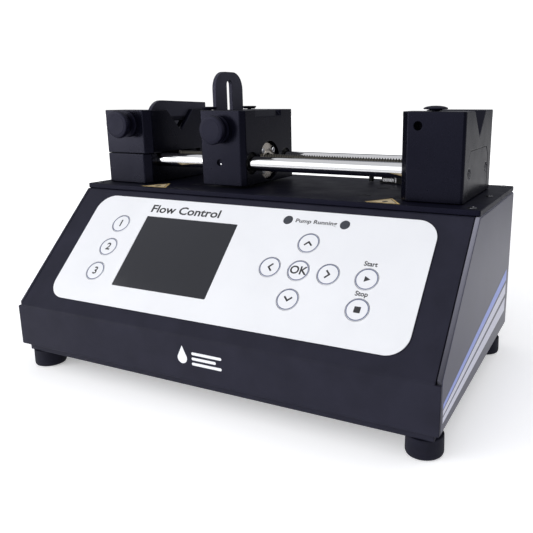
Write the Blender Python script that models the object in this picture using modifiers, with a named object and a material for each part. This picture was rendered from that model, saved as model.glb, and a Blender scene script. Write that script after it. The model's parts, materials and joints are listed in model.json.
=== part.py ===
"""A bench syringe pump with a wedge-shaped sheet-metal case.

A carriage runs on two guide rods between two fixed blocks. A belt-driven lead screw moves it, and
upright plates in the left block and in the carriage hold a syringe's flange and its plunger.

Every position below is in millimetres in the case's own frame: x from the case's middle towards
its right side, y from the front face backwards, and z from the case's lower edge upwards. The
functions turn them into metres in the part's frame, whose origin is on the table under the middle.
Places on the sloping control face are (x, s, n): s up the slope from the bend, n out of it.
"""

import math

import bmesh
import bpy
from mathutils import Matrix, Vector

MM = 0.001
GAP = 0.3  # between touching pieces

# Case
CASE_WIDTH = 300.0
CASE_DEPTH = 186.5
CASE_LIFT = 16.3  # the case's lower edge above the table
SHEET = 1.5
SIDE_SHEET = 3.0
FRONT_HEIGHT = 29.0
SLOPE_RISE = 72.3  # at 45 degrees, so also its run
SLOPE_TOP = FRONT_HEIGHT + SLOPE_RISE
PLATE_THICKNESS = 3.5
PLATE_TOP = 105.0
REAR_TRIM = 1.5  # how far the rear sockets stand out
MIDDLE_Y = (CASE_DEPTH + REAR_TRIM) / 2
BOTTOM_TRAY = 4.2
FOOT_RADIUS = 10.5
FOOT_X = 139.0
FOOT_Y = (12.7, 166.0)

# Control face
PANEL_WIDTH, PANEL_HEIGHT, PANEL_CORNER = 257.6, 86.4, 13.0
PANEL_S = 53.5
PANEL_SKIN = (0.3, 0.8)  # the overlay's back and front, out of the sheet
WINDOW_X, WINDOW_WIDTH, WINDOW_HEIGHT = -41.7, 75.5, 56.3
KEY_RADIUS = 7.0
KEY_PITCH = 19.7
KEY_TRAVEL_SPACE = 1.2
PAD_X = 51.0
RUN_X = 95.0
MODE_X = -99.0
INDICATORS = (31.0, 70.5)
INDICATOR_S = 88.7
INDICATOR_RADIUS = 3.0

# Drive
SCREW_Y, SCREW_Z = 125.0, 122.6
SCREW_RADIUS = 5.0
ROD_RADIUS = 5.0
ROD_SPREAD = 24.5  # each rod's distance from the screw
BUSHING_RADIUS = 7.5
RUNNING_GAP = 0.25
BELT_X = 125.0
BELT_THICKNESS = 1.3
SCREW_PULLEY_RADIUS = 8.9
MOTOR_PULLEY_RADIUS = 4.45
MOTOR_Z = 60.0
MOTOR_SIZE = 42.3

# Blocks on the top plate
BLOCK_FRONT, BLOCK_BACK = 86.3, 163.7
BLOCK_TOP = 159.5
LEFT_X = (-140.0, -99.0)
LEFT_SEAM = 127.4
RIGHT_X = (96.0, 136.0)
CARRIAGE_X = (-54.8, -18.5)
CARRIAGE_Y = (90.0, 160.0)
CARRIAGE_BOTTOM = 107.0
GROOVE_DEPTH = 16.0
KNOB_RADIUS = 10.0
LEFT_KNOB = (-118.7, 149.3)  # x and z
CARRIAGE_KNOB = (-39.2, 146.3)
NUT_RECESS = 6.1  # from the carriage's right face to the nut's seat
CLAMP_X, CLAMP_SPREAD = -51.8, 26.5  # the carriage's two small thumbscrews
PLATE_SLOT = 0.3  # clearance on each side of an upright plate

BARREL_STOP_X = -104.5
PLUNGER_STOP_X = -53.4
STOP_THICKNESS = 3.0

ROUND_STEPS = 32
KEY_STEPS = 18
LAMP_STEPS = 12


# ---- frames ----------------------------------------------------------------------------------

def place(x, y, z):
    """A point of the case's frame, in metres in the part's frame."""
    return Vector((x, y - MIDDLE_Y, z + CASE_LIFT)) * MM


def turned_axes(x_axis, y_axis):
    x_axis, y_axis = Vector(x_axis).normalized(), Vector(y_axis).normalized()
    return Matrix((x_axis, y_axis, x_axis.cross(y_axis))).transposed()


UPRIGHT_SIDE = turned_axes((0, 1, 0), (0, 0, 1))  # outlines in y and z, thickness along +x
UPRIGHT_FRONT = turned_axes((1, 0, 0), (0, 0, 1))  # outlines in x and z, thickness along -y
LEVEL = turned_axes((1, 0, 0), (0, 1, 0))  # outlines in x and y, thickness along +z
SLOPE = turned_axes((1, 0, 0), (0, 1, 1))  # outlines in x and s, thickness out of the slope
ALONG_X = turned_axes((0, 1, 0), (0, 0, 1))  # turned pieces: their axis along +x
ALONG_Y = turned_axes((0, 0, 1), (1, 0, 0))  # their axis along +y
TO_FRONT = turned_axes((1, 0, 0), (0, 0, 1))  # their axis along -y


def slope_point(x, s, n):
    """A point at (x, s, n) on the control face, in the case's frame."""
    leg = math.sqrt(0.5)
    return x, (s - n) * leg, FRONT_HEIGHT + (s + n) * leg


# ---- materials -------------------------------------------------------------------------------

def material(name, color, roughness, metallic=0.0):
    made = bpy.data.materials.new(name)
    made.use_nodes = True
    surface = made.node_tree.nodes["Principled BSDF"]
    surface.inputs["Base Color"].default_value = (*color, 1.0)
    surface.inputs["Roughness"].default_value = roughness
    surface.inputs["Metallic"].default_value = metallic
    made.diffuse_color = (*color, 1.0)
    return made


def make_materials():
    return {
        "case_paint": material("case_paint", (0.040, 0.040, 0.050), 0.55),
        "black_anodised": material("black_anodised", (0.020, 0.021, 0.030), 0.45, 0.3),
        "panel_print": material("panel_print", (0.86, 0.87, 0.90), 0.35),
        "screen_glass": material("screen_glass", (0.035, 0.040, 0.050), 0.12),
        "indicator_lens": material("indicator_lens", (0.05, 0.055, 0.065), 0.3),
        "knob_plastic": material("knob_plastic", (0.030, 0.030, 0.036), 0.5),
        "foot_rubber": material("foot_rubber", (0.028, 0.028, 0.032), 0.8),
        "rod_chrome": material("rod_chrome", (0.86, 0.86, 0.87), 0.12, 1.0),
        "screw_steel": material("screw_steel", (0.36, 0.35, 0.34), 0.35, 1.0),
        "nut_metal": material("nut_metal", (0.62, 0.57, 0.50), 0.3, 1.0),
        "seal_black": material("seal_black", (0.012, 0.012, 0.012), 0.6),
        "motor_paint": material("motor_paint", (0.03, 0.03, 0.03), 0.5, 0.4),
        "belt_rubber": material("belt_rubber", (0.02, 0.02, 0.02), 0.7),
        "pulley_aluminium": material("pulley_aluminium", (0.75, 0.75, 0.76), 0.35, 1.0),
        "circuit_board": material("circuit_board", (0.02, 0.12, 0.05), 0.5),
        "socket_plastic": material("socket_plastic", (0.02, 0.02, 0.02), 0.4),
        "socket_metal": material("socket_metal", (0.70, 0.70, 0.70), 0.3, 1.0),
    }


# ---- shapes ----------------------------------------------------------------------------------

class Shop:
    """Makes pieces in the part's collection and cutters in another."""

    def __init__(self):
        self.parts = bpy.data.collections.new("syringe_pump")
        self.cutters = bpy.data.collections.new("cutters")
        bpy.context.scene.collection.children.link(self.parts)
        bpy.context.scene.collection.children.link(self.cutters)
        self.materials = make_materials()

    def add(self, name, mesh, origin, axes, slot):
        """Put a mesh in the scene as a piece, or as a cutter when it has no material slot."""
        piece = bpy.data.objects.new(name, mesh)
        piece.matrix_world = Matrix.Translation(place(*origin)) @ axes.to_4x4()
        if slot:
            mesh.materials.append(self.materials[slot])
            self.parts.objects.link(piece)
        else:
            self.cutters.objects.link(piece)
            piece.hide_render = True
            piece.display_type = "WIRE"
        return piece

    def box(self, name, low, high, slot=None):
        size = [(b - a) * MM for a, b in zip(low, high)]
        middle = [(a + b) / 2 for a, b in zip(low, high)]
        shape = bmesh.new()
        bmesh.ops.create_cube(shape, size=1.0, matrix=Matrix.Diagonal((*size, 1.0)))
        mesh = bpy.data.meshes.new(name)
        shape.to_mesh(mesh)
        shape.free()
        return self.add(name, mesh, middle, LEVEL, slot)

    def rod(self, name, start, axes, radius, length, slot=None, steps=ROUND_STEPS):
        """A cylinder from start, its length along the axes' third direction."""
        shape = bmesh.new()
        bmesh.ops.create_cone(
            shape, cap_ends=True, segments=steps, radius1=radius * MM, radius2=radius * MM,
            depth=length * MM, matrix=Matrix.Translation((0, 0, length * MM / 2)),
        )
        mesh = bpy.data.meshes.new(name)
        shape.to_mesh(mesh)
        shape.free()
        if slot:
            smooth(mesh)
        return self.add(name, mesh, start, axes, slot)

    def turned(self, name, origin, axes, profile, slot=None, steps=ROUND_STEPS):
        """A profile of (radius, height) points, running down its outer side, turned about z."""
        shape = bmesh.new()
        corners = [shape.verts.new((r * MM, 0, h * MM)) for r, h in profile]
        for first, second in zip(corners, corners[1:]):
            shape.edges.new((first, second))
        if profile[0][0] > 0:
            shape.edges.new((corners[-1], corners[0]))
        mesh = bpy.data.meshes.new(name)
        shape.to_mesh(mesh)
        shape.free()
        piece = self.add(name, mesh, origin, axes, slot)
        screw = piece.modifiers.new("turn", "SCREW")
        screw.steps = screw.render_steps = steps
        screw.use_merge_vertices = True
        screw.merge_threshold = 0.00001
        screw.use_smooth_shade = False
        return piece

    def flat(self, name, outline, axes, origin, thickness, slot=None, holes=()):
        """A flat outline, with holes, as thick as stated and centred on the origin."""
        curve = bpy.data.curves.new(name, "CURVE")
        curve.dimensions = "2D"
        curve.fill_mode = "BOTH"
        curve.extrude = thickness * MM / 2
        for points in (outline, *holes):
            spline = curve.splines.new("POLY")
            spline.points.add(len(points) - 1)
            for corner, (u, v) in zip(spline.points, points):
                corner.co = (u * MM, v * MM, 0, 1)
            spline.use_cyclic_u = True
        guide = bpy.data.objects.new(name + "_outline", curve)
        self.cutters.objects.link(guide)
        graph = bpy.context.evaluated_depsgraph_get()
        mesh = bpy.data.meshes.new_from_object(guide.evaluated_get(graph))
        bpy.data.objects.remove(guide)
        bpy.data.curves.remove(curve)
        shape = bmesh.new()
        shape.from_mesh(mesh)
        bmesh.ops.remove_doubles(shape, verts=shape.verts, dist=0.000001)
        bmesh.ops.dissolve_limit(
            shape, angle_limit=math.radians(1), verts=shape.verts, edges=shape.edges
        )
        bmesh.ops.recalc_face_normals(shape, faces=shape.faces)
        shape.to_mesh(mesh)
        shape.free()
        mesh.name = name
        mesh.materials.clear()
        return self.add(name, mesh, origin, axes, slot)

    def combine(self, piece, other, operation):
        step = piece.modifiers.new(other.name, "BOOLEAN")
        step.operation = operation
        step.solver = "EXACT"
        step.object = other

    def cut(self, piece, *cutters):
        for cutter in cutters:
            self.combine(piece, cutter, "DIFFERENCE")

    def join(self, piece, *others):
        for other in others:
            self.combine(piece, other, "UNION")

    def soften(self, piece, width, segments=2):
        bevel = piece.modifiers.new("soft_edges", "BEVEL")
        bevel.width = width * MM
        bevel.segments = segments
        bevel.limit_method = "ANGLE"
        bevel.angle_limit = math.radians(40)
        bevel.harden_normals = False


def smooth(mesh):
    mesh.shade_smooth()
    mesh.set_sharp_from_angle(angle=math.radians(35))


# ---- outlines --------------------------------------------------------------------------------

def rounded(corners, steps=6):
    """An outline of (u, v, radius) corners, each rounded by its radius."""
    points = []
    count = len(corners)
    for i, (u, v, radius) in enumerate(corners):
        here = Vector((u, v))
        if radius <= 0:
            points.append((u, v))
            continue
        before = (Vector(corners[i - 1][:2]) - here).normalized()
        after = (Vector(corners[(i + 1) % count][:2]) - here).normalized()
        half = math.acos(max(-1.0, min(1.0, before.dot(after)))) / 2
        middle = here + (before + after).normalized() * (radius / math.sin(half))
        start = here + before * (radius / math.tan(half)) - middle
        turn = math.pi - 2 * half
        if before.x * after.y - before.y * after.x > 0:
            turn = -turn
        for k in range(steps + 1):
            angle = turn * k / steps
            c, s = math.cos(angle), math.sin(angle)
            points.append((middle.x + start.x * c - start.y * s,
                           middle.y + start.x * s + start.y * c))
    return points


def rectangle(low, high, radius=0.0, steps=6):
    (u0, v0), (u1, v1) = low, high
    return rounded([(u0, v0, radius), (u1, v0, radius), (u1, v1, radius), (u0, v1, radius)], steps)


def circle(u, v, radius, steps=ROUND_STEPS):
    return [(u + radius * math.cos(2 * math.pi * k / steps),
             v + radius * math.sin(2 * math.pi * k / steps)) for k in range(steps)]


def bent_sheet(path, thickness):
    """The outline of a sheet whose outer skin follows the path, with the sheet on its right."""
    inner = []
    for i, point in enumerate(path):
        here = Vector(point)
        sides = []
        for near, far in ((i - 1, i), (i, i + 1)):
            if near >= 0 and far < len(path):
                run = (Vector(path[far]) - Vector(path[near])).normalized()
                sides.append(Vector((run.y, -run.x)))
        normal = (sides[0] + sides[-1]).normalized()
        inner.append(tuple(here + normal * thickness / normal.dot(sides[0])))
    return list(path) + inner[::-1]


def tangent_loop(low_center, low_radius, high_center, high_radius, steps=14):
    """An outline around two wheels, the second straight above the first."""
    lean = math.asin((high_radius - low_radius) / (high_center - low_center))
    points = []
    for k in range(steps + 1):
        angle = -lean + (math.pi + 2 * lean) * k / steps
        points.append((high_radius * math.cos(angle), high_center + high_radius * math.sin(angle)))
    for k in range(steps + 1):
        angle = math.pi + lean + (math.pi - 2 * lean) * k / steps
        points.append((low_radius * math.cos(angle), low_center + low_radius * math.sin(angle)))
    return points


# ---- case ------------------------------------------------------------------------------------

def make_base(shop):
    """The bottom tray, set in from the case's walls, with air slots in its floor."""
    inset = 3.5
    half = CASE_WIDTH / 2 - inset
    low, high = -GAP - BOTTOM_TRAY, -GAP
    tray = shop.box("base_tray", (-half, inset, low), (half, CASE_DEPTH - inset, high), "case_paint")
    pocket = shop.box(
        "tray_pocket", (-half + SHEET, inset + SHEET, low + SHEET),
        (half - SHEET, CASE_DEPTH - inset - SHEET, high + 2),
    )
    shop.cut(tray, pocket)
    for i in range(6):
        x = -62.5 + 25 * i
        slot = shop.flat(
            f"tray_slot_{i}", rectangle((-1.5, -18), (1.5, 18), 1.4, 4), LEVEL,
            (x, 95, low + SHEET / 2), 4 * SHEET,
        )
        shop.cut(tray, slot)


def make_feet(shop):
    top = -GAP - BOTTOM_TRAY - GAP
    height = top + CASE_LIFT
    profile = [
        (0, height), (FOOT_RADIUS - 0.4, height), (FOOT_RADIUS, 1.0), (FOOT_RADIUS - 1.0, 0),
        (5.0, 0), (4.6, 5.0), (0, 5.0),
    ]
    for x, side in ((-FOOT_X, "left"), (FOOT_X, "right")):
        for y, end in zip(FOOT_Y, ("front", "rear")):
            shop.turned(f"foot_{end}_{side}", (x, y, -CASE_LIFT), LEVEL, profile, "foot_rubber",
                        24)


def make_front_cover(shop):
    """The folded sheet of the front: a lower lip, the upright face, the slope and a top ledge."""
    half = CASE_WIDTH / 2 - SIDE_SHEET - GAP
    path = [
        (12, 0), (1.8, 0), (0.5, 0.5), (0, 1.8), (0, FRONT_HEIGHT - 0.8), (0.25, FRONT_HEIGHT + 0.2),
        (SLOPE_RISE - 0.6, SLOPE_TOP - 0.6), (SLOPE_RISE + 0.6, SLOPE_TOP - 0.1),
        (SLOPE_RISE + 11, SLOPE_TOP - 0.1),
    ]
    cover = shop.flat(
        "front_cover", bent_sheet(path, SHEET), UPRIGHT_SIDE, (0, 0, 0), 2 * half, "case_paint"
    )
    ends = shop.flat(
        "front_ends", rectangle((-CASE_WIDTH / 2, 0.6), (CASE_WIDTH / 2, FRONT_HEIGHT - 0.4), 0.8, 3),
        UPRIGHT_FRONT, (0, SHEET / 2, 0), SHEET,
    )
    shop.join(cover, ends)
    shop.cut(cover, slope_cutter(shop, "cover_window", rectangle(
        (WINDOW_X - WINDOW_WIDTH / 2 - 0.3, PANEL_S - WINDOW_HEIGHT / 2 - 0.3),
        (WINDOW_X + WINDOW_WIDTH / 2 + 0.3, PANEL_S + WINDOW_HEIGHT / 2 + 0.3),
    )))
    for name, x, s in key_places():
        hole = circle(x, s, KEY_RADIUS + GAP, KEY_STEPS)
        shop.cut(cover, slope_cutter(shop, f"cover_{name}", hole))
    for i, x in enumerate(INDICATORS):
        hole = circle(x, INDICATOR_S, INDICATOR_RADIUS + GAP, LAMP_STEPS)
        shop.cut(cover, slope_cutter(shop, f"cover_lamp_{i}", hole))


def slope_cutter(shop, name, outline):
    return shop.flat(name, outline, SLOPE, (0, 0, FRONT_HEIGHT), 6 * SHEET)


def make_sides(shop):
    front = SHEET + GAP
    outline = rounded([
        (front, 0.3, 0.8), (CASE_DEPTH, 0.3, 1.5), (CASE_DEPTH, SLOPE_TOP - 0.1, 3.0),
        (SLOPE_RISE - 0.1, SLOPE_TOP - 0.1, 1.5), (front, FRONT_HEIGHT + front, 1.0),
    ], 4)
    for sign, side in ((-1, "left"), (1, "right")):
        x = sign * (CASE_WIDTH - SIDE_SHEET) / 2
        panel = shop.flat(f"side_panel_{side}", outline, UPRIGHT_SIDE, (x, 0, 0), SIDE_SHEET,
                          "case_paint")
        shop.soften(panel, 1.0, 2)


def make_rear(shop):
    """The back sheet with its air slots, and the power inlet, data socket and power switch."""
    half = CASE_WIDTH / 2 - SIDE_SHEET - GAP
    outline = rectangle((-half, 1.0), (half, SLOPE_TOP - 1.5))
    holes = [rectangle((x - 1.5, 48), (x + 1.5, 84), 1.4, 3) for x in range(-66, -5, 10)]
    holes += [circle(112, 22, 6.3, 24), rectangle((83, 16), (97, 28.2)),
              rectangle((-122, 12), (-101.5, 39.6))]
    middle_y = CASE_DEPTH - SHEET / 2
    shop.flat("rear_panel", outline, UPRIGHT_FRONT, (0, middle_y, 0), SHEET, "case_paint", holes)

    back = CASE_DEPTH + REAR_TRIM
    profile = [
        (7.6, REAR_TRIM), (7.6, GAP), (6.0, GAP), (6.0, -11), (0, -11), (0, -8.5), (3.0, -8.5),
        (3.0, REAR_TRIM),
    ]
    inlet = shop.turned("power_inlet", (112, CASE_DEPTH, 22), ALONG_Y, profile, "socket_plastic",
                        24)
    pin = shop.rod("inlet_pin", (112, CASE_DEPTH - 9.5, 22), ALONG_Y, 1.0, 8.5, None, 12)
    shop.join(inlet, pin)

    shell = shop.box("data_socket", (83.4, CASE_DEPTH - 15, 16.4), (96.6, back - 1.0, 27.8),
                     "socket_metal")
    mouth = shop.box("data_mouth", (85.6, CASE_DEPTH - 9, 18.2), (94.4, back + 1, 26.0))
    shop.cut(shell, mouth)
    tongue = shop.box("data_tongue", (87.2, CASE_DEPTH - 10, 20.5), (92.8, back - 2.2, 23.7))
    shop.join(shell, tongue)

    low, high = (-121.6, 12.4), (-101.9, 39.2)
    bezel = shop.box("switch_bezel", (low[0], CASE_DEPTH - 12, low[1]),
                     (high[0], CASE_DEPTH + 0.2, high[1]), "socket_plastic")
    rim = shop.box("switch_rim", (low[0] - 1.4, CASE_DEPTH + GAP - 0.15, low[1] - 1.4),
                   (high[0] + 1.4, back, high[1] + 1.4))
    shop.join(bezel, rim)
    well = shop.box("switch_well", (low[0] + 2, CASE_DEPTH - 9, low[1] + 2),
                    (high[0] - 2, back + 2, high[1] - 2))
    shop.cut(bezel, well)


ROCKER_X, ROCKER_Z = -111.75, 25.8
ROCKER_LEAN = math.radians(-9)


def make_rocker(shop):
    """The power switch's rocker: a shallow V seen from the side, leaning to its off position."""
    outline = [
        (-6.0, -8.0), (-6.0, 8.0), (-0.4, 10.4), (1.0, 6.0), (-0.6, 0.0), (1.0, -6.0), (-0.4, -10.4),
    ]
    lean = Matrix.Rotation(ROCKER_LEAN, 3, "X")
    rocker = shop.flat("power_rocker", outline, lean @ UPRIGHT_SIDE,
                       (ROCKER_X, CASE_DEPTH - 0.6, ROCKER_Z), 14.6, "socket_plastic")
    shop.soften(rocker, 0.3, 1)


def make_top_plate(shop):
    half = CASE_WIDTH / 2 - GAP
    outline = rectangle((-half, SLOPE_RISE + 0.5), (half, CASE_DEPTH - 0.2), 1.2, 3)
    opening = rectangle((BELT_X - 5, SCREW_Y - 12.5), (BELT_X + 6, SCREW_Y + 12.5), 2.0, 3)
    plate = shop.flat("top_plate", outline, LEVEL, (0, 0, PLATE_TOP - PLATE_THICKNESS / 2),
                      PLATE_THICKNESS, "black_anodised", [opening])
    shop.soften(plate, 0.5, 1)


# ---- control face ----------------------------------------------------------------------------

def key_places():
    """Each key's name and its centre on the slope."""
    step = KEY_PITCH
    return [
        ("key_one", MODE_X, PANEL_S + step), ("key_two", MODE_X, PANEL_S),
        ("key_three", MODE_X, PANEL_S - step),
        ("key_up", PAD_X, PANEL_S + step), ("key_left", PAD_X - step, PANEL_S),
        ("key_ok", PAD_X, PANEL_S), ("key_right", PAD_X + step, PANEL_S),
        ("key_down", PAD_X, PANEL_S - step),
        ("key_start", RUN_X, PANEL_S), ("key_stop", RUN_X, PANEL_S - step),
    ]


def make_panel(shop):
    back, front = PANEL_SKIN
    middle = slope_point(0, 0, (back + front) / 2)
    half_w, half_h = PANEL_WIDTH / 2, PANEL_HEIGHT / 2
    window_low = (WINDOW_X - WINDOW_WIDTH / 2, PANEL_S - WINDOW_HEIGHT / 2)
    window_high = (WINDOW_X + WINDOW_WIDTH / 2, PANEL_S + WINDOW_HEIGHT / 2)
    holes = [rectangle(window_low, window_high)]
    holes += [circle(x, s, KEY_RADIUS + GAP, KEY_STEPS) for _, x, s in key_places()]
    holes += [circle(x, INDICATOR_S, INDICATOR_RADIUS + GAP, LAMP_STEPS) for x in INDICATORS]
    outline = rectangle((-half_w, PANEL_S - half_h), (half_w, PANEL_S + half_h), PANEL_CORNER, 8)
    shop.flat("panel_overlay", outline, SLOPE, middle, front - back, "panel_print", holes)

    inset = 0.2
    window_x, window_y, window_z = slope_point(0, 0, front - 0.15 - 0.9)
    shop.flat(
        "display_window",
        rectangle((window_low[0] + inset, window_low[1] + inset),
                  (window_high[0] - inset, window_high[1] - inset)),
        SLOPE, (window_x, window_y, window_z), 1.8, "screen_glass",
    )
    shop.flat(
        "display_module",
        rectangle((window_low[0] - 3, window_low[1] - 3), (window_high[0] + 3, window_high[1] + 3)),
        SLOPE, slope_point(0, 0, -5.0), 5.0, "circuit_board",
    )
    for name, x, s in key_places():
        bottom = front - 2.0
        shop.rod(name, slope_point(x, s, bottom), SLOPE, KEY_RADIUS, 2.0, "panel_print",
                 KEY_STEPS)
    for x, side in zip(INDICATORS, ("left", "right")):
        shop.rod(f"indicator_{side}", slope_point(x, INDICATOR_S, -1.6), SLOPE, INDICATOR_RADIUS,
                 1.6 + front + 0.1, "indicator_lens", LAMP_STEPS)
    make_keypad_board(shop)


def make_keypad_board(shop):
    """The board under the keys, cut away around the display, with a low dome under each key."""
    board_top = PANEL_SKIN[1] - 2.0 - KEY_TRAVEL_SPACE - 0.6
    hole = rectangle((WINDOW_X - WINDOW_WIDTH / 2 - 4, PANEL_S - WINDOW_HEIGHT / 2 - 4),
                     (WINDOW_X + WINDOW_WIDTH / 2 + 4, PANEL_S + WINDOW_HEIGHT / 2 + 4))
    board = shop.flat(
        "keypad_board", rectangle((-112, 16), (112, 93)), SLOPE,
        slope_point(0, 0, board_top - 0.8), 1.6, "circuit_board", [hole],
    )
    for name, x, s in key_places():
        dome = shop.rod(f"dome_{name}", slope_point(x, s, board_top - 0.5), SLOPE, 3.0, 0.9, None, 8)
        shop.join(board, dome)


def make_control_board(shop):
    """The main board on the case's floor, with its driver, sockets and capacitors."""
    top = 8.0
    board = shop.box("control_board", (-120, 70, top - 1.6), (30, 165, top), "circuit_board")
    lumps = [
        ((-60, 100), (14, 14, 2)), ((-20, 120), (20, 20, 12)), ((10, 90), (8, 20, 10)),
        ((-100, 140), (10, 16, 9)), ((-95, 95), (8, 8, 11)), ((-80, 95), (8, 8, 11)),
    ]
    for i, ((x, y), (w, d, h)) in enumerate(lumps):
        lump = shop.box(f"board_lump_{i}", (x, y, top - 0.5), (x + w, y + d, top + h))
        shop.join(board, lump)
    for i, (x, y) in enumerate(((-116, 74), (26, 74), (-116, 161), (26, 161))):
        post = shop.rod(f"board_post_{i}", (x, y, -GAP - BOTTOM_TRAY + SHEET + GAP), LEVEL, 2.5,
                        top + 1.5 + GAP, None, 12)
        shop.join(board, post)


# ---- drive -----------------------------------------------------------------------------------

def rod_places():
    return ((SCREW_Y - ROD_SPREAD, "front"), (SCREW_Y + ROD_SPREAD, "rear"))


def make_drive(shop):
    left_end, right_end = -131.0, 132.5
    for y, end in rod_places():
        shop.rod(f"guide_rod_{end}", (left_end, y, SCREW_Z), ALONG_X, ROD_RADIUS,
                 right_end - left_end, "rod_chrome")

    start, stop = -112.0, 130.5
    profile = [
        (0, stop), (2.6, stop), (3.0, stop - 0.4), (3.0, 109.6), (SCREW_RADIUS, 109.0),
        (SCREW_RADIUS, -99.4), (3.0, -100.4), (3.0, start + 0.4), (2.6, start), (0, start),
    ]
    shop.turned("lead_screw", (0, SCREW_Y, SCREW_Z), ALONG_X, profile, "screw_steel", 24)

    bush = [(4.7, 6.4), (4.7, 0), (3.0 + RUNNING_GAP, 0), (3.0 + RUNNING_GAP, 6.4)]
    shop.turned("screw_bushing", (LEFT_X[1] - 2.0 - 6.8, SCREW_Y, SCREW_Z), ALONG_X, bush,
                "nut_metal", 24)
    bearing = [(11.0, 6.8), (11.0, 0), (3.0 + RUNNING_GAP, 0), (3.0 + RUNNING_GAP, 6.8)]
    shop.turned("screw_bearing", (110.5, SCREW_Y, SCREW_Z), ALONG_X, bearing, "screw_steel", 24)

    make_pulley(shop, "screw_pulley", SCREW_Z, SCREW_PULLEY_RADIUS, 3.0 + RUNNING_GAP / 5)
    make_pulley(shop, "motor_pulley", MOTOR_Z, MOTOR_PULLEY_RADIUS, 2.5 + RUNNING_GAP / 5)

    inner_gap = GAP
    inside = tangent_loop(MOTOR_Z, MOTOR_PULLEY_RADIUS + inner_gap,
                          SCREW_Z, SCREW_PULLEY_RADIUS + inner_gap)
    outside = tangent_loop(MOTOR_Z, MOTOR_PULLEY_RADIUS + inner_gap + BELT_THICKNESS,
                           SCREW_Z, SCREW_PULLEY_RADIUS + inner_gap + BELT_THICKNESS)
    shop.flat("timing_belt", outside, UPRIGHT_SIDE, (BELT_X, SCREW_Y, 0), 5.6, "belt_rubber",
              [inside])
    make_motor(shop)


def make_pulley(shop, name, z, radius, bore):
    """A toothed wheel with two flanges, on its shaft; the groove between holds the belt."""
    flange = radius + 1.2
    profile = [
        (flange, 4.2), (flange, 3.3), (radius, 3.3), (radius, -3.3), (flange, -3.3),
        (flange, -4.2), (bore, -4.2), (bore, 4.2),
    ]
    shop.turned(name, (BELT_X, SCREW_Y, z), ALONG_X, profile, "pulley_aluminium", 24)


def make_motor(shop):
    half = MOTOR_SIZE / 2
    front, back = 109.6, 69.6
    outline = rounded([(-half, -half, 4), (half, -half, 4), (half, half, 4), (-half, half, 4)], 2)
    motor = shop.flat("stepper_motor", outline, UPRIGHT_SIDE,
                      ((front + back) / 2, SCREW_Y, MOTOR_Z), front - back, "motor_paint")
    boss = shop.rod("motor_boss", (front - 1, SCREW_Y, MOTOR_Z), ALONG_X, 11.0, 3.0)
    shop.join(motor, boss)
    bore = shop.rod("motor_bore", (back + 8, SCREW_Y, MOTOR_Z), ALONG_X, 3.2, 60, None, 24)
    shop.cut(motor, bore)
    shop.rod("motor_shaft", (back + 9, SCREW_Y, MOTOR_Z), ALONG_X, 2.5, 51.0, "screw_steel", 24)

    face, flange_top = 109.9, PLATE_TOP - PLATE_THICKNESS - GAP
    bracket = shop.flat(
        "motor_bracket",
        rectangle((SCREW_Y - 26, MOTOR_Z - 25), (SCREW_Y + 26, flange_top - 1)),
        UPRIGHT_SIDE, (face + 1.25, 0, 0), 2.5, "case_paint", [circle(SCREW_Y, MOTOR_Z, 11.4)],
    )
    ledge = shop.box("bracket_ledge", (face - 14, SCREW_Y - 25.5, flange_top - 2.5),
                     (face + 2.2, SCREW_Y + 25.5, flange_top))
    shop.join(bracket, ledge)


# ---- blocks ----------------------------------------------------------------------------------

def groove_cutter(shop, name, x_low, x_high):
    """A wedge that cuts a right-angled V groove along x in a block's top."""
    reach = GROOVE_DEPTH + 2
    outline = [(SCREW_Y, BLOCK_TOP - GROOVE_DEPTH), (SCREW_Y + reach, BLOCK_TOP + 2),
               (SCREW_Y - reach, BLOCK_TOP + 2)]
    return shop.flat(name, outline, UPRIGHT_SIDE, ((x_low + x_high) / 2, 0, 0), x_high - x_low)


def block_outline(x_low, x_high, y_low, y_high, left_chamfer, right_chamfer):
    """A block seen from above, with its two front edges chamfered."""
    return [
        (x_low, y_low + left_chamfer), (x_low + left_chamfer, y_low),
        (x_high - right_chamfer, y_low), (x_high, y_low + right_chamfer),
        (x_high, y_high), (x_low, y_high),
    ]


def block(shop, name, outline, low, high):
    return shop.flat(name, outline, LEVEL, (0, 0, (low + high) / 2), high - low, "black_anodised")


def rod_bores(shop, prefix, start, length, radius):
    return [shop.rod(f"{prefix}_{end}_bore", (start, y, SCREW_Z), ALONG_X, radius, length)
            for y, end in rod_places()]


def make_left_block(shop):
    """The fixed left block: a lower half that holds the rods, an upper half with the V groove."""
    x_low, x_high = LEFT_X
    inset = 2.0
    bottom = PLATE_TOP + GAP
    lower = block(shop, "left_block_base", block_outline(
        x_low, x_high - inset, BLOCK_FRONT, BLOCK_BACK, 0.8, 4.4), bottom, LEFT_SEAM)
    shop.soften(lower, 0.4, 1)
    shop.cut(lower, *rod_bores(shop, "left_rod", x_low + 8.5, 60, ROD_RADIUS + RUNNING_GAP))
    shop.cut(lower, shop.rod("left_screw_bore", (-114, SCREW_Y, SCREW_Z), ALONG_X, 5.0, 60))

    upper = block(shop, "left_block_cradle", block_outline(
        x_low, x_high, BLOCK_FRONT, BLOCK_BACK, 0.8, 4.8), LEFT_SEAM + GAP, BLOCK_TOP)
    shop.cut(upper, groove_cutter(shop, "left_groove", x_low - 5, x_high + 5))
    shop.soften(upper, 0.4, 1)
    half = STOP_THICKNESS / 2 + PLATE_SLOT
    slot = shop.box("barrel_slot", (BARREL_STOP_X - half, 93.0, 135.2),
                    (BARREL_STOP_X + half, BLOCK_BACK + 5, BLOCK_TOP + 5))
    knob_x, knob_z = LEFT_KNOB
    knob_hole = shop.rod("left_knob_hole", (knob_x, BLOCK_FRONT - 5, knob_z), ALONG_Y, 3.0, 19,
                         None, 16)
    shop.cut(upper, slot, knob_hole)


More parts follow.
